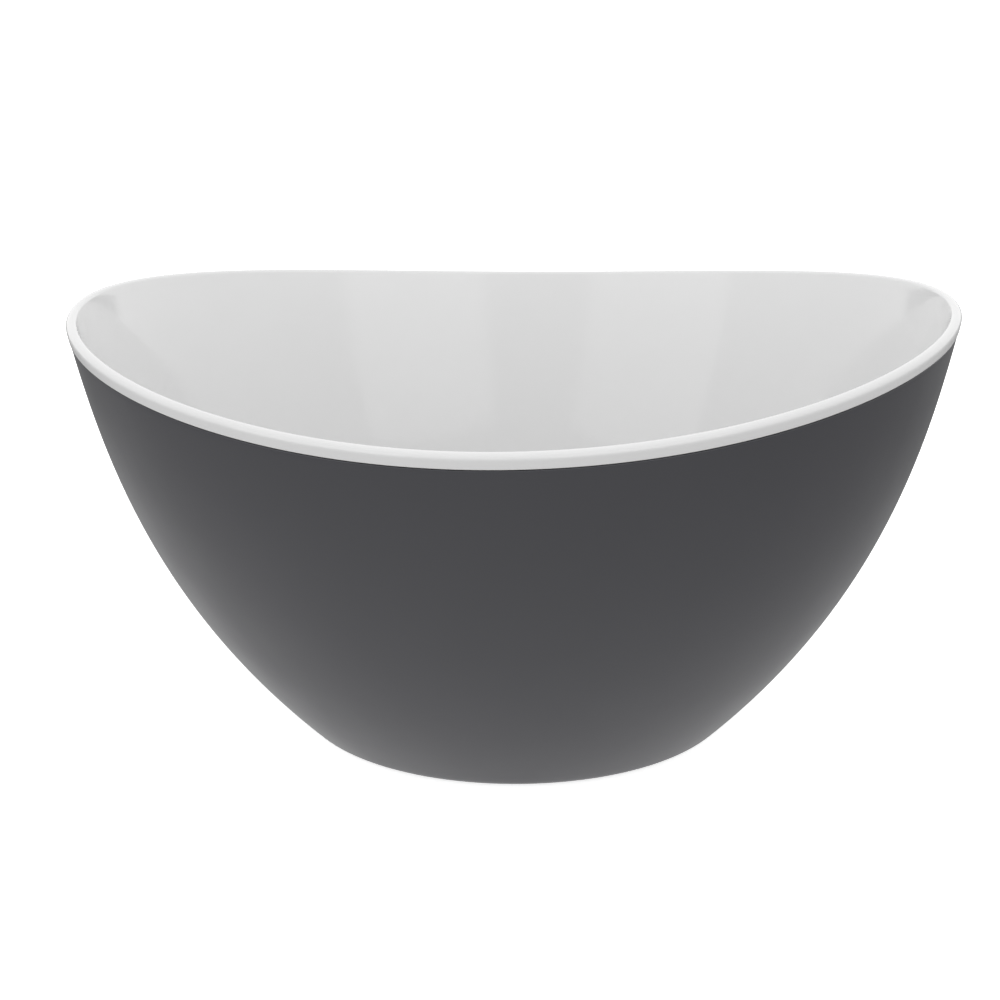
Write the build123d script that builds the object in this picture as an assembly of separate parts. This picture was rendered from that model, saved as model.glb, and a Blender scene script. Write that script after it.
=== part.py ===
from build123d import *

import math
import os
from dataclasses import dataclass, replace

# Oval double-walled serving bowl with a saddle-curved rim.
#
# A white inner bowl hangs by its rolled rim over a charcoal outer shell. A skirt under the rim covers the
# shell's top edge, where a tongue stands in a groove against a sealing bead and is bonded. The air space between
# the two walls widens towards the base. There the inner bowl rests on a support ring, and a spigot under its
# floor stands in a boss on the shell's floor. A soft ring pressed into the underside keeps the bowl from sliding.
#
# Units are millimetres. +Z is up, +X runs along the bowl's length, and the origin is the centre of the ellipse
# that the foot ring stands on.

# Overall size
LENGTH = 300.0  # over the outer shell, at the height of the rim's tips
WIDTH = 260.0  # over the outer shell, along the same ellipse family
TIP_HEIGHT = 152.0  # from the table to the rim's two high tips
RIM_DIP = 16.5  # how far the rim sinks from its tips to the middle of its long sides

# Outer wall, as a half section through the bowl's length
FOOT_PROUD = 0.4  # how far the foot ring stands out of the underside
FLAT_LENGTH = 136.0  # flat part of the underside
CORNER_RADIUS = 12.0  # turn from the underside into the wall
LOW_WALL_ANGLE = 45.0  # wall above that turn, from the horizontal, in degrees
RIM_WALL_ANGLE = 79.0  # wall at the rim
LOW_PULL = 0.459  # length of the wall curve's lower handle, as a share of its chord
RIM_PULL = 0.26  # length of its upper handle

# Walls
SHELL_WALL = 1.6
SHELL_FLOOR = 2.0
BOWL_WALL = 1.6
RIM_GAP = 0.2  # between the two walls at the rim's tips
FLOOR_GAP = 3.0  # between the two floors
BOWL_FLAT_SETBACK = 2.0  # how much shorter the inner bowl's flat floor is, at each end

# Rim of the inner bowl, measured inwards from the outer shell's face and down from the rim's crest
LIP_PROUD = 0.2
LIP_HEIGHT = 4.8
SKIRT_WALL = 1.0
CAP_THICKNESS = 1.4
LIP_OUTER_ROUND = 1.8
LIP_INNER_ROUND = 1.2
LIP_LOWER_ROUND = 0.35
SHADOW_GAP = 0.3  # open line between the lip and the shell's shoulder

# Bonded joint under the rim
TONGUE_STEP = 0.9  # how far the tongue is set in from the shell's face
TONGUE_TOP = 2.1  # tongue's top, below the crest
SEAL_SLACK = 0.05  # around the sealing bead
SHOULDER_ROUND = 0.25

# Support ring on the shell's floor and the foot ring beneath it
RING_LENGTH = 122.0  # long axis of the ellipse midway across both rings
FOOT_WIDTH = 4.0
FOOT_THICKNESS = 1.6
FOOT_SLACK = 0.05  # around the foot ring in its groove
FOOT_ROUND = 0.5
SUPPORT_WIDTH = 7.0
SUPPORT_SLACK = 0.1  # between the shell's supports and the inner bowl's floor

# Centre boss, its stiffeners and the spigot that stands in it
BOSS_RADIUS = 9.0
SPIGOT_RADIUS = 6.0
SPIGOT_SLACK = 0.1
SPIGOT_LENGTH = 2.4
STIFFENER_COUNT = 8
STIFFENER_WALL = 1.4

# Mark left by the moulding gate, in the middle of the underside
GATE_RADIUS = 4.0
GATE_DEPTH = 0.4

CREST = 0.0  # depth of the rim's crest below itself
SHOULDER = LIP_HEIGHT + SHADOW_GAP
ABOVE = 4.0  # how far each form runs past the tips before it is trimmed
REACH = 220.0  # half size of the cutting blocks
ON_CURVE = 0.02  # how near an edge has to lie to a surface to count as on it


@dataclass(frozen=True)
class Wall:
    """Half section of one oval face: a flat floor, a round corner and a long curve up to the rim."""

    floor: float  # height of the flat floor
    flat: float  # half length of that floor
    corner: float  # radius of the turn into the wall
    inset: float  # distance in from the outer shell's face, at the rim

    def deeper(self, thickness):
        """The same face, moved into the bowl by a wall's thickness."""
        return replace(
            self,
            floor=self.floor + thickness,
            corner=self.corner - thickness,
            inset=self.inset + thickness,
        )


SHELL_OUTSIDE = Wall(FOOT_PROUD, FLAT_LENGTH / 2, CORNER_RADIUS, 0.0)
SHELL_INSIDE = replace(SHELL_OUTSIDE.deeper(SHELL_WALL), floor=FOOT_PROUD + SHELL_FLOOR)
BOWL_OUTSIDE = Wall(
    floor=SHELL_INSIDE.floor + FLOOR_GAP,
    flat=FLAT_LENGTH / 2 - BOWL_FLAT_SETBACK,
    corner=CORNER_RADIUS,
    inset=SHELL_WALL + RIM_GAP,
)
BOWL_INSIDE = BOWL_OUTSIDE.deeper(BOWL_WALL)
LIP_OUTSIDE = SHELL_OUTSIDE.deeper(-LIP_PROUD)
GROOVE_OUTSIDE = LIP_OUTSIDE.deeper(SKIRT_WALL)
TONGUE_OUTSIDE = SHELL_OUTSIDE.deeper(TONGUE_STEP)
SUPPORT_TOP = BOWL_OUTSIDE.floor - SUPPORT_SLACK


def along(angle):
    """Unit vector at an angle above the horizontal, in the half section."""
    return Vector(math.cos(math.radians(angle)), 0, math.sin(math.radians(angle)))


def inward(angle):
    """Unit vector square to a wall at that angle, pointing into the bowl."""
    return Vector(-math.sin(math.radians(angle)), 0, math.cos(math.radians(angle)))


def oval(wall):
    """Solid filled form inside one face, running past the rim."""
    start = Vector(0, 0, wall.floor)
    flat_end = Vector(wall.flat, 0, wall.floor)
    corner_centre = flat_end + Vector(0, 0, wall.corner)
    middle = corner_centre - inward(LOW_WALL_ANGLE / 2) * wall.corner
    low = corner_centre - inward(LOW_WALL_ANGLE) * wall.corner
    tip = Vector(LENGTH / 2, 0, TIP_HEIGHT) + inward(RIM_WALL_ANGLE) * wall.inset
    top = tip + along(RIM_WALL_ANGLE) * ABOVE
    chord = (top - low).length
    low_handle = low + along(LOW_WALL_ANGLE) * (LOW_PULL * chord)
    top_handle = top - along(RIM_WALL_ANGLE) * (RIM_PULL * chord)
    top_centre = Vector(0, 0, top.Z)
    section = Wire(
        [
            Line(start, flat_end),
            ThreePointArc(flat_end, middle, low),
            Bezier(low, low_handle, top_handle, top),
            Line(top, top_centre),
            Line(top_centre, start),
        ]
    )
    turned = revolve(Face(section), Axis.Z)
    slimming = (WIDTH / 2 - wall.inset) / (LENGTH / 2 - wall.inset)
    return scale(turned, by=(1, slimming, 1), about=(0, 0, 0))


def saddle(drop):
    """Height of the axis and radius of the cylinder that the rim's crest lies on, lowered by drop."""
    radius = ((LENGTH / 2) ** 2 + RIM_DIP**2) / (2 * RIM_DIP)
    return TIP_HEIGHT - RIM_DIP + radius, radius + drop


def under_rim(drop):
    """Block that reaches up to the rim's saddle surface, lowered by drop."""
    centre, radius = saddle(drop)
    edge = centre - math.sqrt(radius**2 - REACH**2)
    left, right = Vector(-REACH, 0, edge), Vector(REACH, 0, edge)
    low_left, low_right = Vector(-REACH, 0, -REACH), Vector(REACH, 0, -REACH)
    section = Wire(
        [
            ThreePointArc(left, Vector(0, 0, centre - radius), right),
            Line(right, low_right),
            Line(low_right, low_left),
            Line(low_left, left),
        ]
    )
    return extrude(Face(section), amount=REACH, dir=(0, 1, 0), both=True)


def rim_edges(part, drop):
    """Edges that run round the rim at one depth below its crest, the innermost first."""
    centre, radius = saddle(drop)
    samples = (0.1, 0.4, 0.6, 0.9)

    def lies_on(edge):
        points = [edge @ share for share in samples]
        return all(abs(math.hypot(p.X, p.Z - centre) - radius) < ON_CURVE for p in points)

    return sorted(filter(lies_on, part.edges()), key=lambda edge: edge.length)


def oval_ring(width, low, high):
    """Flat oval ring between two heights, on the line of the foot ring."""
    half_length = RING_LENGTH / 2
    half_width = half_length * WIDTH / LENGTH
    outline = Ellipse(half_length + width / 2, half_width + width / 2)
    hole = Ellipse(half_length - width / 2, half_width - width / 2)
    return Pos(0, 0, low) * extrude(outline - hole, amount=high - low)


def post(radius, low, high):
    """Round post on the centre line, between two heights."""
    return Pos(0, 0, low) * Cylinder(radius, high - low, align=(Align.CENTER, Align.CENTER, Align.MIN))


def inner_bowl():
    """White food bowl with its rolled rim, the skirt below it and the spigot under the floor."""
    vessel = oval(BOWL_OUTSIDE) & under_rim(CAP_THICKNESS / 2)
    lip = (oval(LIP_OUTSIDE) & under_rim(CREST)) - under_rim(LIP_HEIGHT)
    groove = (oval(GROOVE_OUTSIDE) & under_rim(CAP_THICKNESS)) - oval(BOWL_OUTSIDE)
    bowl = (vessel + lip) - groove - oval(BOWL_INSIDE)
    bowl = bowl.fillet(LIP_OUTER_ROUND, rim_edges(bowl, CREST)[-1:])
    bowl = bowl.fillet(LIP_INNER_ROUND, rim_edges(bowl, CREST)[:1])
    bowl = bowl.fillet(LIP_LOWER_ROUND, rim_edges(bowl, LIP_HEIGHT)[-1:])
    spigot = post(SPIGOT_RADIUS, BOWL_OUTSIDE.floor - SPIGOT_LENGTH, BOWL_INSIDE.floor - BOWL_WALL / 2)
    return bowl + spigot


def shell_supports():
    """Support ring, boss and stiffeners that carry the inner bowl's floor."""
    root = SHELL_INSIDE.floor - SHELL_FLOOR / 2
    ring = oval_ring(SUPPORT_WIDTH, root, SUPPORT_TOP)
    boss = post(BOSS_RADIUS, root, SUPPORT_TOP)
    inner_end = (BOSS_RADIUS + SPIGOT_RADIUS) / 2
    stiffeners = Part()
    for step in range(STIFFENER_COUNT):
        angle = 2 * math.pi * (step + 0.5) / STIFFENER_COUNT
        reach = RING_LENGTH / 2 / math.hypot(math.cos(angle), math.sin(angle) * LENGTH / WIDTH)
        rib = Box(reach - inner_end, STIFFENER_WALL, SUPPORT_TOP - root, align=(Align.MIN, Align.CENTER, Align.MIN))
        stiffeners += Rot(0, 0, math.degrees(angle)) * Pos(inner_end, 0, root) * rib
    return ring + boss + stiffeners


def outer_shell():
    """Charcoal shell with the tongue on its rim, the supports on its floor and the foot ring's groove."""
    body = oval(SHELL_OUTSIDE) & under_rim(SHOULDER)
    tongue = oval(TONGUE_OUTSIDE) & under_rim(TONGUE_TOP)
    shell = (body + tongue) - oval(SHELL_INSIDE)
    shell = shell.fillet(SHOULDER_ROUND, rim_edges(shell, SHOULDER)[-1:])
    socket = post(SPIGOT_RADIUS + SPIGOT_SLACK, SHELL_INSIDE.floor, SUPPORT_TOP + SPIGOT_SLACK)
    groove = oval_ring(FOOT_WIDTH + 2 * FOOT_SLACK, 0, FOOT_THICKNESS + FOOT_SLACK)
    gate_mark = post(GATE_RADIUS, 0, FOOT_PROUD + GATE_DEPTH)
    return shell + shell_supports() - socket - groove - gate_mark


def rim_seal():
    """Sealing bead in the groove under the rim, on top of the shell's tongue."""
    outer = oval(GROOVE_OUTSIDE.deeper(SEAL_SLACK)) & under_rim(CAP_THICKNESS + SEAL_SLACK)
    inner = oval(replace(BOWL_OUTSIDE, inset=BOWL_OUTSIDE.inset - SEAL_SLACK))
    return outer - inner - under_rim(TONGUE_TOP - SEAL_SLACK)


def foot_ring():
    """Soft non-slip ring that the bowl stands on, with its lower edges rounded."""
    ring = oval_ring(FOOT_WIDTH, 0, FOOT_THICKNESS)
    lower_edges = ring.faces().sort_by(Axis.Z)[0].edges()
    return ring.fillet(FOOT_ROUND, lower_edges)


SUBPARTS = (inner_bowl, outer_shell, rim_seal, foot_ring)

if __name__ == "__main__":
    os.makedirs("parts", exist_ok=True)
    for make in SUBPARTS:
        export_step(make(), f"parts/{make.__name__}.step")
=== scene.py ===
import math
from dataclasses import dataclass, replace

import bmesh
import bpy
import numpy as np
from bpy.props import FloatProperty, FloatVectorProperty, PointerProperty, StringProperty
from mathutils import Matrix, Vector


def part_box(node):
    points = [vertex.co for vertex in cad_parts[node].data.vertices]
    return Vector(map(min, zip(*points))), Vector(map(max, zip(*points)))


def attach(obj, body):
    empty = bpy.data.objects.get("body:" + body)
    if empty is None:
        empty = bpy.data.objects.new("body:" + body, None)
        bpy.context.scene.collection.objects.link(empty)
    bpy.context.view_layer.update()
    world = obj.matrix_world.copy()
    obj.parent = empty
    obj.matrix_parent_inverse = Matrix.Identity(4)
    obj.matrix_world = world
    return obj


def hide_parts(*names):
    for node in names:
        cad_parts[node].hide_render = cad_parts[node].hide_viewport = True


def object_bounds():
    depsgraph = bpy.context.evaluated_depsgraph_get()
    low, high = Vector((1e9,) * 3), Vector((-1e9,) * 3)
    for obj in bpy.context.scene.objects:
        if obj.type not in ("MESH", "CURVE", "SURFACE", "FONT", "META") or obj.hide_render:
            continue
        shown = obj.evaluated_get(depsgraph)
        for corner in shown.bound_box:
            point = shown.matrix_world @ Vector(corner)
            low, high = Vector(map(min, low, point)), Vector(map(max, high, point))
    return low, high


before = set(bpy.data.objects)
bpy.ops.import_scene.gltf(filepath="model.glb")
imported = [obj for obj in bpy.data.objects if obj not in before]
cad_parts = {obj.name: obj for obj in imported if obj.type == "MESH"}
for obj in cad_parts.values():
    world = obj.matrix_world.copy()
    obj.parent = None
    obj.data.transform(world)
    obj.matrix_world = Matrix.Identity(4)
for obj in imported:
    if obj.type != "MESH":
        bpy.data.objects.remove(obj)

bl_info = {
    "name": "Oval double-walled serving bowl",
    "version": (1, 0, 0),
    "blender": (4, 5, 0),
    "location": "3D View > Sidebar > Bowl",
    "description": "Adds a white oval bowl in a charcoal shell, its foot ring, and a small studio round it",
    "category": "Object",
}

CAD_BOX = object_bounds()
MM = 0.001
RIBS = 8  # evenly round the boss, under the inner bowl's floor

# How finely the surfaces are divided
SEGMENTS = 288  # round the bowl
WALL_RINGS = 64  # from the rim down to the base's corner
CORNER_RINGS = 10  # round the base's corner
ROUND_RINGS = 9  # round a small moulded edge
FLAT_RINGS = 6  # across a flat floor
LIP_RINGS = 3  # down the rolled rim's outer face
HALVINGS = 44  # steps that find where a wall meets the rim's surface
STEP = 1e-4  # share of a wall's curve over which its slope is taken

# How a piece is finished and tested
SHARP_ANGLE = math.radians(40)  # an edge that turns more than this shows as a crease
BOX_TOLERANCE = 0.1 * MM  # how well a piece has to fill the box of the CAD node that it stands for

# The plastics
ABS_IOR = 1.53
RUBBER_IOR = 1.5
CLOUD_LOW, CLOUD_HIGH = 0.3, 0.7  # nearly all of a noise texture lies between these

# The studio, in metres
TABLE_REACH = 12.0  # from the bowl to the table's edges
TABLE_SEEN = 0.72  # what the lit table adds to its own white for the camera
GLOW_START, GLOW_END = 0.05, 0.45  # distances between which the table's light fades
PANEL_SIZE = (0.88, 0.75)
PANEL_DISTANCE = 1.3
PANEL_ELEVATION = math.radians(18)
PANEL_AZIMUTHS = {"right_panel": math.radians(28), "left_panel": math.radians(-38.5)}
WHITE = (1.0, 1.0, 1.0, 1.0)

AROUND = np.linspace(0, 2 * math.pi, SEGMENTS, endpoint=False)
COSINES, SINES = np.cos(AROUND), np.sin(AROUND)


# Sizes and colours that a user would change


def millimetres(name, value, description):
    """A property for a length, stated in millimetres and kept in metres."""
    return FloatProperty(name=name, description=description, default=value * MM, unit="LENGTH", precision=5)


def degrees(name, value, description):
    """A property for an angle, stated in degrees and kept in radians."""
    return FloatProperty(name=name, description=description, default=math.radians(value), subtype="ANGLE")


def number(name, value, description):
    """A property for a plain number."""
    return FloatProperty(name=name, description=description, default=value)


def srgb(name, hex_code, description):
    """A property for a colour, kept as sRGB hex."""
    return StringProperty(name=name, description=description, default=hex_code)


class BowlSizes(bpy.types.PropertyGroup):
    """Driving dimensions of the bowl."""

    length: millimetres("Length", 300, "Over the outer shell, at the height of the rim's tips")
    width: millimetres("Width", 260, "Over the outer shell, on the same family of ellipses")
    tip_height: millimetres("Tip height", 152, "From the table to the rim's two high tips")
    rim_dip: millimetres("Rim dip", 16.5, "From the rim's tips down to the middle of its long sides")
    above: millimetres("Run past the rim", 4, "How far the walls' curves run on above the tips")
    foot_proud: millimetres("Foot height", 0.4, "How far the foot ring stands out of the underside")
    flat: millimetres("Flat base", 68, "Half length of the underside's flat part")
    corner: millimetres("Base corner", 12, "Radius of the turn from the underside into the wall")
    low_angle: degrees("Low wall angle", 45, "Lean of the wall above the base's corner")
    rim_angle: degrees("Rim wall angle", 79, "Lean of the wall at the rim")
    low_pull: number("Low pull", 0.459, "Lower handle's share of the chord")
    rim_pull: number("Rim pull", 0.26, "Upper handle's share of the chord")
    shell_wall: millimetres("Shell wall", 1.6, "Thickness of the outer shell")
    shell_floor: millimetres("Shell floor", 2, "Thickness of the outer shell's floor")
    bowl_wall: millimetres("Bowl wall", 1.6, "Thickness of the inner bowl")
    rim_gap: millimetres("Gap at the rim", 0.2, "Between the two walls at the rim")
    floor_gap: millimetres("Gap at the floor", 3, "Between the two floors")
    bowl_setback: millimetres("Bowl setback", 2, "How much shorter the inner bowl's flat floor is")
    lip_proud: millimetres("Lip stand-out", 0.2, "How far the rolled rim stands out of the shell")
    lip_height: millimetres("Lip height", 4.8, "From the crest to the rolled rim's lower edge")
    skirt: millimetres("Skirt wall", 1, "Thickness of the skirt under the rolled rim")
    cap: millimetres("Cap thickness", 1.4, "Thickness of the rolled rim's top over the groove")
    outer_round: millimetres("Outer rounding", 1.8, "Radius of the crest's outer edge")
    inner_round: millimetres("Inner rounding", 1.2, "Radius of the crest's inner edge")
    lower_round: millimetres("Lower rounding", 0.35, "Radius of the skirt's lower edge")
    shadow_gap: millimetres("Shadow gap", 0.3, "Open line between the skirt and the shell's shoulder")
    tongue_step: millimetres("Tongue step", 0.9, "How far the tongue is set in from the shell's face")
    tongue_top: millimetres("Tongue top", 2.1, "From the crest down to the tongue's top")
    shoulder_round: millimetres("Shoulder rounding", 0.25, "Radius of the shell's shoulder")
    ring: millimetres("Ring line", 61, "Half length of the oval midway across the foot ring")
    foot_width: millimetres("Foot width", 4, "Width of the foot ring")
    foot_thick: millimetres("Foot thickness", 1.6, "Thickness of the foot ring")
    foot_slack: millimetres("Foot slack", 0.05, "Between the foot ring and its groove")
    foot_round: millimetres("Foot rounding", 0.5, "Radius of the foot ring's lower edges")
    support_width: millimetres("Support width", 7, "Width of the support ring on the shell's floor")
    support_slack: millimetres("Support slack", 0.1, "Under the inner bowl's floor")
    boss: millimetres("Boss radius", 9, "Radius of the boss in the middle of the shell's floor")
    spigot: millimetres("Spigot radius", 6, "Radius of the spigot under the inner bowl's floor")
    spigot_drop: millimetres("Spigot length", 2.4, "How far the spigot reaches down")
    spigot_slack: millimetres("Spigot slack", 0.1, "Between the spigot and its socket")
    rib_wall: millimetres("Rib wall", 1.4, "Thickness of the ribs between boss and support ring")
    gate: millimetres("Gate mark radius", 4, "Radius of the moulding gate's mark")
    gate_depth: millimetres("Gate mark depth", 0.4, "Depth of the moulding gate's mark")


class BowlColours(bpy.types.PropertyGroup):
    """Colours of the bowl, as sRGB hex."""

    white: srgb("White", "#DBDBDB", "The inner bowl")
    white_shade: srgb("White shade", "#D8D8D8", "The inner bowl's faint clouding")
    charcoal: srgb("Charcoal", "#404044", "The outer shell")
    charcoal_shade: srgb("Charcoal shade", "#3D3D41", "The outer shell's faint clouding")
    rubber: srgb("Rubber", "#232324", "The foot ring")
    seal: srgb("Seal", "#C9C9C4", "The sealing bead under the rim")
    table: srgb("Table", "#F2F2F2", "The table that the bowl stands on")


class BowlStudio(bpy.types.PropertyGroup):
    """Camera and light."""

    azimuth: degrees("Azimuth", 4.733, "The camera's place round the bowl, from its front")
    elevation: degrees("Elevation", 18.356, "The camera's height, as an angle above the table")
    roll: degrees("Roll", 0.862, "The camera's turn about its own axis")
    distance: millimetres("Distance", 682, "From the camera to the point that it aims at")
    aim: FloatVectorProperty(
        name="Aim",
        description="Point that the camera looks at",
        default=(-4.69 * MM, 0, 79.95 * MM),
        unit="LENGTH",
    )
    lens: FloatProperty(name="Lens", description="Focal length", default=69.97, unit="CAMERA")
    walls: number("Walls", 1.3, "Brightness of the white room's walls")
    ceiling: number("Ceiling", 1.0, "Brightness of the white room's ceiling")
    right_panel: number("Right panel", 0.62, "Brightness of the softbox on the right")
    left_panel: number("Left panel", 0.62, "Brightness of the softbox on the left")
    glow_near: number("Glow near", 0.79, "Light of the table under the bowl")
    glow_far: number("Glow far", 0.34, "Light of the table well away from the bowl")
    glow_off: millimetres("Glow offset", 65, "How far to the left of the bowl the table is brightest")


# Materials


def linear(hex_code):
    """Linear RGBA of an sRGB hex colour, by the curve of the sRGB standard."""
    parts = [int(hex_code[i : i + 2], 16) / 255 for i in (1, 3, 5)]
    return [c / 12.92 if c <= 0.04045 else ((c + 0.055) / 1.055) ** 2.4 for c in parts] + [1.0]


def per_metre(apart):
    """Scale of a pattern whose features are that many millimetres apart, for coordinates in metres."""
    return 1 / (apart * MM)


def add_node(tree, kind, settings=None, inputs=None):
    """Adds a node, sets its own values, and sets or links its input sockets."""
    node = tree.nodes.new(kind)
    for name, value in (settings or {}).items():
        setattr(node, name, value)
    for name, value in (inputs or {}).items():
        if isinstance(value, bpy.types.NodeSocket):
            tree.links.new(value, node.inputs[name])
        else:
            node.inputs[name].default_value = value
    return node


def new_material(name):
    """An empty node material and its tree."""
    material = bpy.data.materials.new(name)
    material.use_nodes = True
    material.node_tree.nodes.clear()
    return material, material.node_tree


def end_in_plastic(tree, colour, gloss, ior, relief, strength, depth):
    """Ends a material in a plastic whose surface follows a texture, to a depth in millimetres."""
    bump = add_node(
        tree,
        "ShaderNodeBump",
        {},
        {"Height": relief.outputs["Fac"], "Strength": strength, "Distance": depth * MM},
    )
    shader = add_node(
        tree,
        "ShaderNodeBsdfPrincipled",
        {},
        {
            "Base Color": colour,
            "Roughness": gloss.outputs["Result"],
            "IOR": ior,
            "Normal": bump.outputs["Normal"],
        },
    )
    add_node(tree, "ShaderNodeOutputMaterial", {}, {"Surface": shader.outputs["BSDF"]})


def moulded_gloss_abs(colours):
    """ABS moulded in a polished tool.

    The polish gives an even gloss. The plastic's shrinkage leaves a faint waviness under it, about 14 mm
    from crest to crest, so reflected lights have soft, slightly uneven edges. The white has barely visible
    cloudy patches about 55 mm apart.
    """
    material, tree = new_material("abs_moulded_gloss_white")
    place = add_node(tree, "ShaderNodeTexCoord").outputs["Object"]
    cloud = add_node(
        tree,
        "ShaderNodeTexNoise",
        {},
        {"Vector": place, "Scale": per_metre(55), "Detail": 2.0, "Roughness": 0.5},
    )
    tone = add_node(tree, "ShaderNodeMix", {"data_type": "RGBA"}, {"Factor": cloud.outputs["Fac"]})
    tone.inputs["A"].default_value = linear(colours.white)
    tone.inputs["B"].default_value = linear(colours.white_shade)
    gloss = add_node(
        tree,
        "ShaderNodeMapRange",
        {},
        {
            "Value": cloud.outputs["Fac"],
            "From Min": CLOUD_LOW,
            "From Max": CLOUD_HIGH,
            "To Min": 0.07,
            "To Max": 0.1,
        },
    )
    wave = add_node(
        tree,
        "ShaderNodeTexNoise",
        {},
        {"Vector": place, "Scale": per_metre(14), "Detail": 1.0, "Roughness": 0.4},
    )
    end_in_plastic(tree, tone.outputs["Result"], gloss, ABS_IOR, wave, strength=0.35, depth=0.03)
    return material


def moulded_satin_abs(colours):
    """ABS moulded in a spark-eroded tool.

    The erosion leaves a fine, even grain that spreads the gloss into a satin sheen. The real grain is about
    0.15 mm, too fine to show, so it is drawn three times as coarse. Faint patches of tone are about 35 mm
    apart.
    """
    material, tree = new_material("abs_moulded_satin_charcoal")
    place = add_node(tree, "ShaderNodeTexCoord").outputs["Object"]
    cloud = add_node(
        tree,
        "ShaderNodeTexNoise",
        {},
        {"Vector": place, "Scale": per_metre(35), "Detail": 3.0, "Roughness": 0.5},
    )
    tone = add_node(tree, "ShaderNodeMix", {"data_type": "RGBA"}, {"Factor": cloud.outputs["Fac"]})
    tone.inputs["A"].default_value = linear(colours.charcoal)
    tone.inputs["B"].default_value = linear(colours.charcoal_shade)
    gloss = add_node(
        tree,
        "ShaderNodeMapRange",
        {},
        {
            "Value": cloud.outputs["Fac"],
            "From Min": CLOUD_LOW,
            "From Max": CLOUD_HIGH,
            "To Min": 0.31,
            "To Max": 0.36,
        },
    )
    grain = add_node(
        tree,
        "ShaderNodeTexNoise",
        {},
        {"Vector": place, "Scale": per_metre(0.45), "Detail": 2.0, "Roughness": 0.6},
    )
    end_in_plastic(tree, tone.outputs["Result"], gloss, ABS_IOR, grain, strength=0.25, depth=0.03)
    return material


def moulded_rubber(name, hex_code):
    """Soft rubber, thermoplastic or silicone, from a blasted mould.

    The blasting leaves a dull, slightly mealy surface with hardly any reflection. Its grain is drawn 0.6 mm
    apart, coarser than the real one, so that it shows.
    """
    material, tree = new_material(name)
    place = add_node(tree, "ShaderNodeTexCoord").outputs["Object"]
    grain = add_node(
        tree,
        "ShaderNodeTexNoise",
        {},
        {"Vector": place, "Scale": per_metre(0.6), "Detail": 3.0, "Roughness": 0.6},
    )
    gloss = add_node(
        tree, "ShaderNodeMapRange", {}, {"Value": grain.outputs["Fac"], "To Min": 0.68, "To Max": 0.82}
    )
    end_in_plastic(tree, linear(hex_code), gloss, RUBBER_IOR, grain, strength=0.4, depth=0.05)
    return material


def opal_table(colours, studio):
    """Opal acrylic, cast and lit from below.

    The casting spreads the lamps under it into one even white, with a trace of shade where the bowl stands.
    The light that it throws up at the bowl fades with the distance from a point to the bowl's left. From
    below it is clear, so that the bowl's underside can be looked at.
    """
    material, tree = new_material("acrylic_cast_opal_lit")
    place = add_node(tree, "ShaderNodeTexCoord").outputs["Object"]
    brightest = (-studio.glow_off, 0, 0)
    away = add_node(tree, "ShaderNodeVectorMath", {"operation": "DISTANCE"}, {0: place, 1: brightest})
    glow = add_node(
        tree,
        "ShaderNodeMapRange",
        {"interpolation_type": "SMOOTHSTEP"},
        {
            "Value": away.outputs["Value"],
            "From Min": GLOW_START,
            "From Max": GLOW_END,
            "To Min": studio.glow_near,
            "To Max": studio.glow_far,
        },
    )
    light = add_node(tree, "ShaderNodeEmission", {}, {"Strength": glow.outputs["Result"]})
    lit = add_node(tree, "ShaderNodeEmission", {}, {"Strength": TABLE_SEEN})
    sheet = add_node(tree, "ShaderNodeBsdfDiffuse", {}, {"Color": linear(colours.table)})
    seen = add_node(tree, "ShaderNodeAddShader", {}, {0: lit.outputs["Emission"], 1: sheet.outputs["BSDF"]})
    ray = add_node(tree, "ShaderNodeLightPath")
    above = add_node(
        tree,
        "ShaderNodeMixShader",
        {},
        {0: ray.outputs["Is Camera Ray"], 1: light.outputs["Emission"], 2: seen.outputs["Shader"]},
    )
    side = add_node(tree, "ShaderNodeNewGeometry")
    clear = add_node(tree, "ShaderNodeBsdfTransparent")
    both = add_node(
        tree,
        "ShaderNodeMixShader",
        {},
        {0: side.outputs["Backfacing"], 1: above.outputs["Shader"], 2: clear.outputs["BSDF"]},
    )
    add_node(tree, "ShaderNodeOutputMaterial", {}, {"Surface": both.outputs["Shader"]})
    return material


# Shapes


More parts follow.
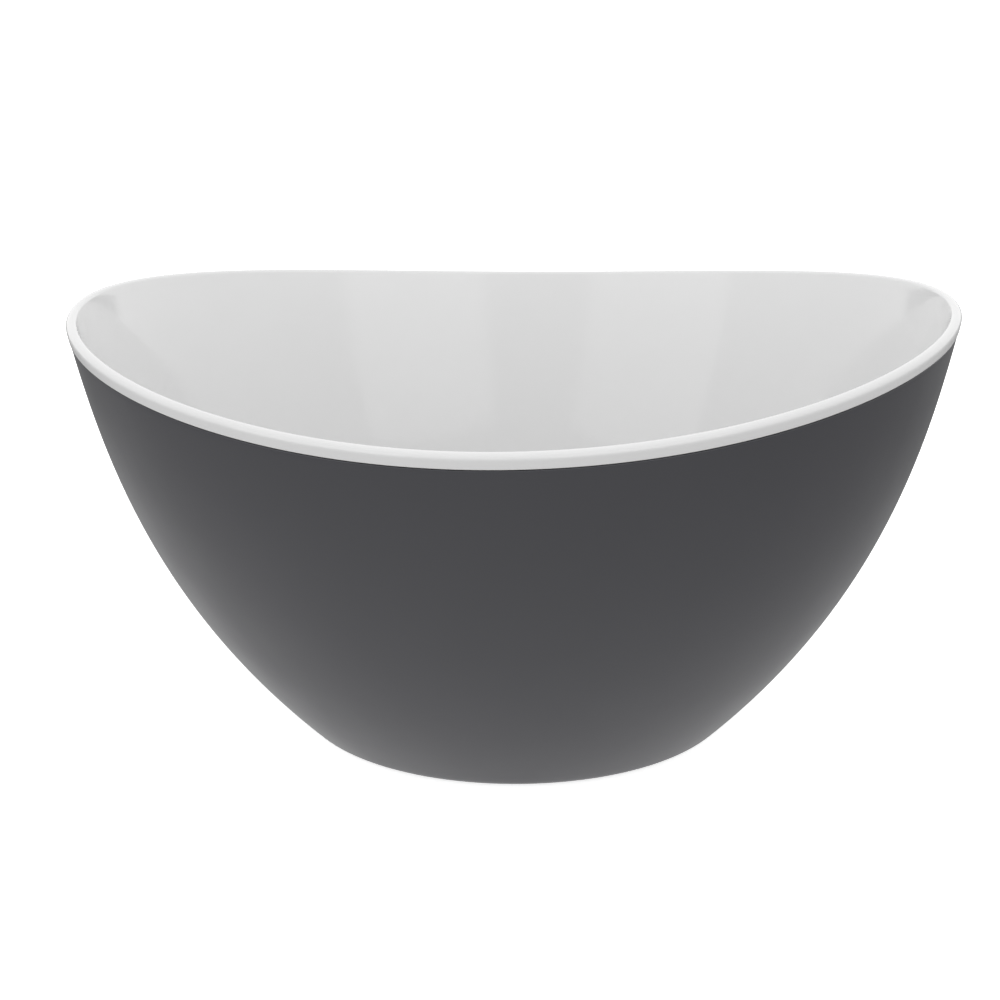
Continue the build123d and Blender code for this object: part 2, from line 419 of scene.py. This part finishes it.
@dataclass(frozen=True)
class Face:
    """One oval face of a wall: a flat floor, a round corner and a long curve up to the rim."""

    sizes: BowlSizes
    floor: float  # height of the flat floor
    flat: float  # half length of that floor
    corner: float  # radius of the turn into the wall
    inset: float  # distance in from the outer shell's face, at the rim

    @property
    def slim(self):
        """Half width of each ring, as a share of its half length."""
        return (self.sizes.width / 2 - self.inset) / (self.sizes.length / 2 - self.inset)

    def deeper(self, thickness):
        """The same face, moved into the bowl by a wall's thickness."""
        return replace(
            self, floor=self.floor + thickness, corner=self.corner - thickness, inset=self.inset + thickness
        )

    def corner_point(self, turn):
        """Half length and height on the corner, where the face leans by turn."""
        half_length = self.flat + self.corner * math.sin(turn)
        return np.array([half_length, self.floor + self.corner * (1 - math.cos(turn))])

    def curve(self, share):
        """Half lengths and heights on the wall's curve, for shares from 0 at the corner to 1 at its top."""
        sizes = self.sizes
        low_way = np.array([math.cos(sizes.low_angle), math.sin(sizes.low_angle)])
        rim_way = np.array([math.cos(sizes.rim_angle), math.sin(sizes.rim_angle)])
        inward = np.array([-rim_way[1], rim_way[0]])
        inset = np.asarray(self.inset, float)[..., None]
        low = self.corner_point(sizes.low_angle)
        top = np.array([sizes.length / 2, sizes.tip_height]) + inward * inset + rim_way * sizes.above
        chord = np.linalg.norm(top - low, axis=-1, keepdims=True)
        low_handle = low + low_way * sizes.low_pull * chord
        top_handle = top - rim_way * sizes.rim_pull * chord
        share = np.asarray(share, float)[..., None]
        rest = 1 - share
        ends = rest**3 * low + share**3 * top
        return ends + 3 * rest**2 * share * low_handle + 3 * rest * share**2 * top_handle

    def ring(self, point):
        """Ring of points at a half length and height, or at one of each for every segment."""
        radius, height = np.moveaxis(np.asarray(point, float), -1, 0)
        return oval(radius, radius * self.slim, height)

    def rim_share(self, drop):
        """Where the wall's curve meets the rim's surface lowered by drop, for every segment."""
        low, high = np.zeros(SEGMENTS), np.ones(SEGMENTS)
        for _ in range(HALVINGS):
            middle = (low + high) / 2
            radius, height = self.curve(middle).T
            under = height < rim_height(self.sizes, radius * COSINES, drop)
            low, high = np.where(under, middle, low), np.where(under, high, middle)
        return (low + high) / 2

    def rim_ring(self, drop):
        """Ring where the wall meets the rim's surface lowered by drop."""
        return self.ring(self.curve(self.rim_share(drop)))

    def wall_normals(self, drop):
        """Outward directions square to the wall, all along that ring."""
        share = self.rim_share(drop)
        radius = self.curve(share)[:, 0]
        rise = self.curve(share + STEP) - self.curve(share - STEP)
        up = np.stack([rise[:, 0] * COSINES, self.slim * rise[:, 0] * SINES, rise[:, 1]], axis=-1)
        round_way = np.stack([-radius * SINES, self.slim * radius * COSINES, np.zeros(SEGMENTS)], axis=-1)
        outward = np.cross(round_way, up)
        return outward / np.linalg.norm(outward, axis=-1, keepdims=True)

    def rounded(self, drop, radius, outer=True, upper=True):
        """Rings round the edge between this face and the rim's surface lowered by drop, from the face on.

        outer says that the moulding lies inside this face, and upper that it lies under the rim's surface.
        The second result is how far the first ring lies below the crest.
        """
        outward, up = (1 if outer else -1), (1 if upper else -1)
        level = rim_normals(self.sizes, self.rim_ring(drop))
        turn = np.arccos(outward * up * (self.wall_normals(drop) * level).sum(axis=-1))
        rings = []
        for part in np.linspace(0, 1, ROUND_RINGS):
            inset = self.inset + outward * radius * (1 - np.cos(turn * part))
            depth = drop + up * radius * (1 - np.cos(turn * (1 - part)))
            rings.append(replace(self, inset=inset).rim_ring(depth))
        return rings, drop + up * radius * (1 - np.cos(turn))

    def wall(self, drop):
        """Rings from the rim's surface lowered by drop, down the wall and round the corner to the floor."""
        top = self.rim_share(drop)
        curve = [self.ring(self.curve(top * share)) for share in np.linspace(1, 0, WALL_RINGS)]
        turns = np.linspace(self.sizes.low_angle, 0, CORNER_RINGS)[1:]
        return curve + [self.ring(self.corner_point(turn)) for turn in turns]


def saddle(sizes):
    """Radius of the cylinder that the rim's crest lies on, and the height of its axis, along Y."""
    radius = ((sizes.length / 2) ** 2 + sizes.rim_dip**2) / (2 * sizes.rim_dip)
    return radius, sizes.tip_height - sizes.rim_dip + radius


def rim_height(sizes, across, drop):
    """Height of the rim's saddle surface at a distance from the middle, lowered by drop."""
    radius, axis_height = saddle(sizes)
    return axis_height - np.sqrt((radius + drop) ** 2 - across**2)


def rim_normals(sizes, points):
    """Upward directions square to the rim's saddle surface at those points."""
    up = np.array([0, 0, saddle(sizes)[1]]) - points * np.array([1, 0, 1])
    return up / np.linalg.norm(up, axis=-1, keepdims=True)


def oval(half_length, half_width, height):
    """Ring of points on an ellipse."""
    return np.stack(np.broadcast_arrays(half_length * COSINES, half_width * SINES, height), axis=-1)


def between(first, last, count):
    """Rings spaced evenly between two rings, without them."""
    return [first + (last - first) * share for share in np.linspace(0, 1, count + 2)[1:-1]]


def flat_across(rings, last):
    """The rings, carried on across a flat floor to a last ring."""
    return rings + between(rings[-1], last, FLAT_RINGS) + [last]


def add_ribs(piece, sizes, reach, low, high):
    """Joins ribs to a piece, evenly round its boss, out to the oval whose half length is reach."""
    mesh = bpy.data.meshes.new("ribs")
    shape = bmesh.new()
    start = (sizes.boss + sizes.spigot) / 2  # inside the boss's wall
    for step in range(RIBS):
        turn = 2 * math.pi * (step + 0.5) / RIBS
        end = reach / math.hypot(math.cos(turn), math.sin(turn) * sizes.length / sizes.width)
        place = Matrix.Rotation(turn, 4, "Z") @ Matrix.Translation(((start + end) / 2, 0, (low + high) / 2))
        size = Matrix.Diagonal((end - start, sizes.rib_wall, high - low, 1))
        bmesh.ops.create_cube(shape, size=1, matrix=place @ size)
    shape.to_mesh(mesh)
    shape.free()
    ribs = bpy.data.objects.new("ribs", mesh)
    bpy.context.scene.collection.objects.link(ribs)
    joint = piece.modifiers.new("ribs", "BOOLEAN")
    joint.operation = "UNION"
    joint.solver = "EXACT"
    joint.object = ribs
    bpy.context.view_layer.objects.active = piece
    bpy.ops.object.modifier_apply(modifier=joint.name)
    bpy.data.objects.remove(ribs)


def faces_of(sizes):
    """The four main faces: the shell's outside and inside, and the bowl's outside and inside."""
    shell_outside = Face(sizes, sizes.foot_proud, sizes.flat, sizes.corner, 0.0)
    floor_top = sizes.foot_proud + sizes.shell_floor
    shell_inside = replace(shell_outside.deeper(sizes.shell_wall), floor=floor_top)
    bowl_outside = Face(
        sizes,
        shell_inside.floor + sizes.floor_gap,
        sizes.flat - sizes.bowl_setback,
        sizes.corner,
        sizes.shell_wall + sizes.rim_gap,
    )
    return shell_outside, shell_inside, bowl_outside, bowl_outside.deeper(sizes.bowl_wall)


def on_ring_line(sizes, offset, height):
    """Ring on the foot ring's line, moved outwards by offset."""
    return oval(sizes.ring + offset, sizes.ring * sizes.width / sizes.length + offset, height)


def skin(name, rings, closed=False):
    """Object whose surface runs through the rings, ending in flat caps or, closed, back at the first."""
    mesh = bpy.data.meshes.new(name)
    shape = bmesh.new()
    loops = [[shape.verts.new(point) for point in ring] for ring in rings]
    pairs = list(zip(loops, loops[1:]))
    if closed:
        pairs.append((loops[-1], loops[0]))
    else:
        for loop in (loops[0], loops[-1]):
            middle = shape.verts.new(sum((vert.co for vert in loop), Vector()) / len(loop))
            for first, second in zip(loop, loop[1:] + loop[:1]):
                shape.faces.new((middle, first, second))
    for lower, upper in pairs:
        for i in range(SEGMENTS):
            after = (i + 1) % SEGMENTS
            shape.faces.new((lower[i], lower[after], upper[after], upper[i]))
    bmesh.ops.recalc_face_normals(shape, faces=shape.faces)
    shape.to_mesh(mesh)
    shape.free()
    piece = bpy.data.objects.new(name, mesh)
    bpy.context.scene.collection.objects.link(piece)
    return piece


def finish_piece(piece, node, material):
    """Smooths a piece, gives it its material, and puts it in the place of its CAD node."""
    piece.data.materials.clear()
    piece.data.materials.append(material)
    piece.data.shade_smooth()
    piece.data.set_sharp_from_angle(angle=SHARP_ANGLE)
    points = np.array([vertex.co for vertex in piece.data.vertices])
    low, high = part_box(node)
    own_box = np.array([points.min(axis=0), points.max(axis=0)])
    misfit = abs(own_box - np.array([low, high])).max()
    if misfit > BOX_TOLERANCE:
        raise RuntimeError(f"{piece.name} misses the box of {node} by {misfit / MM:.2f} mm")
    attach(piece, "root")
    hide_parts(node)


class BOWL_OT_inner_bowl(bpy.types.Operator):
    """Add the white inner bowl with its rolled rim, skirt and spigot"""

    bl_idname = "bowl.inner_bowl"
    bl_label = "Inner bowl"

    def execute(self, context):
        sizes = context.scene.bowl_sizes
        shell_outside, _, outside, inside = faces_of(sizes)
        lip = shell_outside.deeper(-sizes.lip_proud)
        inner_edge, inner_top = inside.rounded(0, sizes.inner_round, outer=False)
        outer_edge, _ = lip.rounded(0, sizes.outer_round)
        lower_edge, _ = lip.rounded(sizes.lip_height, sizes.lower_round, upper=False)
        centre = oval(sizes.spigot, sizes.spigot, inside.floor)
        rings = flat_across(inside.wall(inner_top), centre)[::-1] + inner_edge[1:] + outer_edge[::-1]
        rings += between(outer_edge[0], lower_edge[0], LIP_RINGS) + lower_edge
        groove = lip.deeper(sizes.skirt)
        rings += [groove.rim_ring(sizes.lip_height), groove.rim_ring(sizes.cap)]
        rings += flat_across(outside.wall(sizes.cap), oval(sizes.spigot, sizes.spigot, outside.floor))
        rings.append(oval(sizes.spigot, sizes.spigot, outside.floor - sizes.spigot_drop))
        piece = skin("inner_bowl_moulding", rings)
        finish_piece(piece, "inner_bowl", moulded_gloss_abs(context.scene.bowl_colours))
        return {"FINISHED"}


class BOWL_OT_outer_shell(bpy.types.Operator):
    """Add the charcoal shell with its tongue, supports, foot groove and gate mark"""

    bl_idname = "bowl.outer_shell"
    bl_label = "Outer shell"

    def execute(self, context):
        sizes = context.scene.bowl_sizes
        outside, inside, bowl_outside, _ = faces_of(sizes)
        support_top = bowl_outside.floor - sizes.support_slack
        half_groove = sizes.foot_width / 2 + sizes.foot_slack
        groove_top = sizes.foot_thick + sizes.foot_slack
        rings = [oval(sizes.gate, sizes.gate, outside.floor + sizes.gate_depth)]
        rings.append(oval(sizes.gate, sizes.gate, outside.floor))
        rings = flat_across(rings, on_ring_line(sizes, -half_groove, outside.floor))
        rings.append(on_ring_line(sizes, -half_groove, groove_top))
        rings.append(on_ring_line(sizes, half_groove, groove_top))
        rings.append(on_ring_line(sizes, half_groove, outside.floor))
        shoulder = sizes.lip_height + sizes.shadow_gap
        shoulder_edge, shoulder_top = outside.rounded(shoulder, sizes.shoulder_round)
        rings += outside.wall(shoulder_top)[::-1] + shoulder_edge[1:]
        tongue = outside.deeper(sizes.tongue_step)
        rings += [tongue.rim_ring(shoulder), tongue.rim_ring(sizes.tongue_top)]
        rings += inside.wall(sizes.tongue_top)
        half_support = sizes.support_width / 2
        rings.append(on_ring_line(sizes, half_support, inside.floor))
        rings.append(on_ring_line(sizes, half_support, support_top))
        rings.append(on_ring_line(sizes, -half_support, support_top))
        rings.append(on_ring_line(sizes, -half_support, inside.floor))
        rings = flat_across(rings, oval(sizes.boss, sizes.boss, inside.floor))
        socket = sizes.spigot + sizes.spigot_slack
        rings.append(oval(sizes.boss, sizes.boss, support_top))
        rings.append(oval(socket, socket, support_top))
        rings.append(oval(socket, socket, inside.floor))
        piece = skin("outer_shell_moulding", rings)
        add_ribs(piece, sizes, sizes.ring, (groove_top + inside.floor) / 2, support_top)
        finish_piece(piece, "outer_shell", moulded_satin_abs(context.scene.bowl_colours))
        return {"FINISHED"}


class BOWL_OT_foot_ring(bpy.types.Operator):
    """Add the soft ring that the bowl stands on"""

    bl_idname = "bowl.foot_ring"
    bl_label = "Foot ring"

    def execute(self, context):
        sizes = context.scene.bowl_sizes
        reach = sizes.foot_width / 2 - sizes.foot_round
        turns = np.linspace(0, math.pi / 2, ROUND_RINGS)
        right = [
            (reach + sizes.foot_round * math.sin(turn), sizes.foot_round * (1 - math.cos(turn)))
            for turn in turns
        ]
        right.append((sizes.foot_width / 2, sizes.foot_thick))
        section = right + [(-offset, height) for offset, height in reversed(right)]
        rings = [on_ring_line(sizes, offset, height) for offset, height in section]
        piece = skin("foot_ring_moulding", rings, closed=True)
        rubber = moulded_rubber("tpe_moulded_dull_black", context.scene.bowl_colours.rubber)
        finish_piece(piece, "foot_ring", rubber)
        return {"FINISHED"}


class BOWL_OT_rim_seal(bpy.types.Operator):
    """Give the sealing bead under the rim its silicone"""

    bl_idname = "bowl.rim_seal"
    bl_label = "Rim seal"

    def execute(self, context):
        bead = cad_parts["rim_seal"]
        silicone = moulded_rubber("silicone_cast_milky", context.scene.bowl_colours.seal)
        bead.data.materials.clear()
        bead.data.materials.append(silicone)
        return {"FINISHED"}


# Stage


def aim_from(target, azimuth, elevation, distance, roll=0.0):
    """Matrix of a camera or light that stands off from a target and looks at it."""
    level = math.cos(elevation)
    back = Vector((math.sin(azimuth) * level, -math.cos(azimuth) * level, math.sin(elevation)))
    turn = back.to_track_quat("Z", "Y").to_matrix().to_4x4() @ Matrix.Rotation(-roll, 4, "Z")
    return Matrix.Translation(Vector(target) + back * distance) @ turn


def add_table(scene):
    """Table that the bowl stands on."""
    mesh = bpy.data.meshes.new("table")
    corners = [(x * TABLE_REACH, y * TABLE_REACH, 0) for x, y in ((-1, -1), (1, -1), (1, 1), (-1, 1))]
    mesh.from_pydata(corners, [], [(0, 1, 2, 3)])
    mesh.materials.append(opal_table(scene.bowl_colours, scene.bowl_studio))
    table = bpy.data.objects.new("table", mesh)
    scene.collection.objects.link(table)


def add_room(scene):
    """White room, whose brightness changes from its walls to its ceiling."""
    room = bpy.data.worlds.new("white_room")
    room.use_nodes = True
    tree = room.node_tree
    tree.nodes.clear()
    way = add_node(tree, "ShaderNodeTexCoord").outputs["Generated"]
    rise = add_node(tree, "ShaderNodeSeparateXYZ", {}, {"Vector": way}).outputs["Z"]
    strength = add_node(
        tree,
        "ShaderNodeMapRange",
        {},
        {"Value": rise, "To Min": scene.bowl_studio.walls, "To Max": scene.bowl_studio.ceiling},
    )
    light = add_node(
        tree, "ShaderNodeBackground", {}, {"Color": WHITE, "Strength": strength.outputs["Result"]}
    )
    add_node(tree, "ShaderNodeOutputWorld", {}, {"Surface": light.outputs["Background"]})
    scene.world = room


def add_panel(scene, name, azimuth, brightness):
    """Softbox that stands off from the bowl, at an angle round it from its front."""
    light = bpy.data.lights.new(name, "AREA")
    light.shape = "RECTANGLE"
    light.size, light.size_y = PANEL_SIZE
    light.energy = brightness * math.pi * light.size * light.size_y
    panel = bpy.data.objects.new(name, light)
    middle = (CAD_BOX[0] + CAD_BOX[1]) / 2
    panel.matrix_world = aim_from(middle, azimuth, PANEL_ELEVATION, PANEL_DISTANCE)
    scene.collection.objects.link(panel)


def add_camera(scene):
    """Camera that looks down into the bowl from its front."""
    studio = scene.bowl_studio
    lens = bpy.data.cameras.new("camera")
    lens.lens = studio.lens
    camera = bpy.data.objects.new("camera", lens)
    camera.matrix_world = aim_from(
        studio.aim, studio.azimuth, studio.elevation, studio.distance, studio.roll
    )
    scene.collection.objects.link(camera)
    scene.camera = camera


class BOWL_OT_stage(bpy.types.Operator):
    """Add the table, the white room, the lights and the camera"""

    bl_idname = "bowl.stage"
    bl_label = "Stage"

    def execute(self, context):
        scene = context.scene
        scene.view_settings.view_transform = "Standard"
        add_table(scene)
        add_room(scene)
        for name, azimuth in PANEL_AZIMUTHS.items():
            add_panel(scene, name, azimuth, getattr(scene.bowl_studio, name))
        add_camera(scene)
        return {"FINISHED"}


class BOWL_PT_panel(bpy.types.Panel):
    """Lists the bowl's pieces and its sizes."""

    bl_idname = "BOWL_PT_panel"
    bl_label = "Serving bowl"
    bl_space_type = "VIEW_3D"
    bl_region_type = "UI"
    bl_category = "Bowl"

    def draw(self, context):
        for maker in MAKERS:
            self.layout.operator(maker.bl_idname)
        for group in (context.scene.bowl_sizes, context.scene.bowl_colours, context.scene.bowl_studio):
            for name in group.bl_rna.properties.keys():
                if name not in ("rna_type", "name"):
                    self.layout.prop(group, name)


GROUPS = {"bowl_sizes": BowlSizes, "bowl_colours": BowlColours, "bowl_studio": BowlStudio}
MAKERS = (BOWL_OT_inner_bowl, BOWL_OT_outer_shell, BOWL_OT_foot_ring, BOWL_OT_rim_seal, BOWL_OT_stage)
CLASSES = (*GROUPS.values(), *MAKERS, BOWL_PT_panel)


def register():
    """Makes the classes and the scene's properties known."""
    for cls in CLASSES:
        bpy.utils.register_class(cls)
    for name, group in GROUPS.items():
        setattr(bpy.types.Scene, name, PointerProperty(type=group))


def unregister():
    """Takes them away again."""
    for name in GROUPS:
        delattr(bpy.types.Scene, name)
    for cls in reversed(CLASSES):
        bpy.utils.unregister_class(cls)


def main():
    """Builds every piece and the stage."""
    register()
    bpy.ops.bowl.inner_bowl()
    bpy.ops.bowl.outer_shell()
    bpy.ops.bowl.foot_ring()
    bpy.ops.bowl.rim_seal()
    bpy.ops.bowl.stage()


if __name__ == "__main__":
    main()
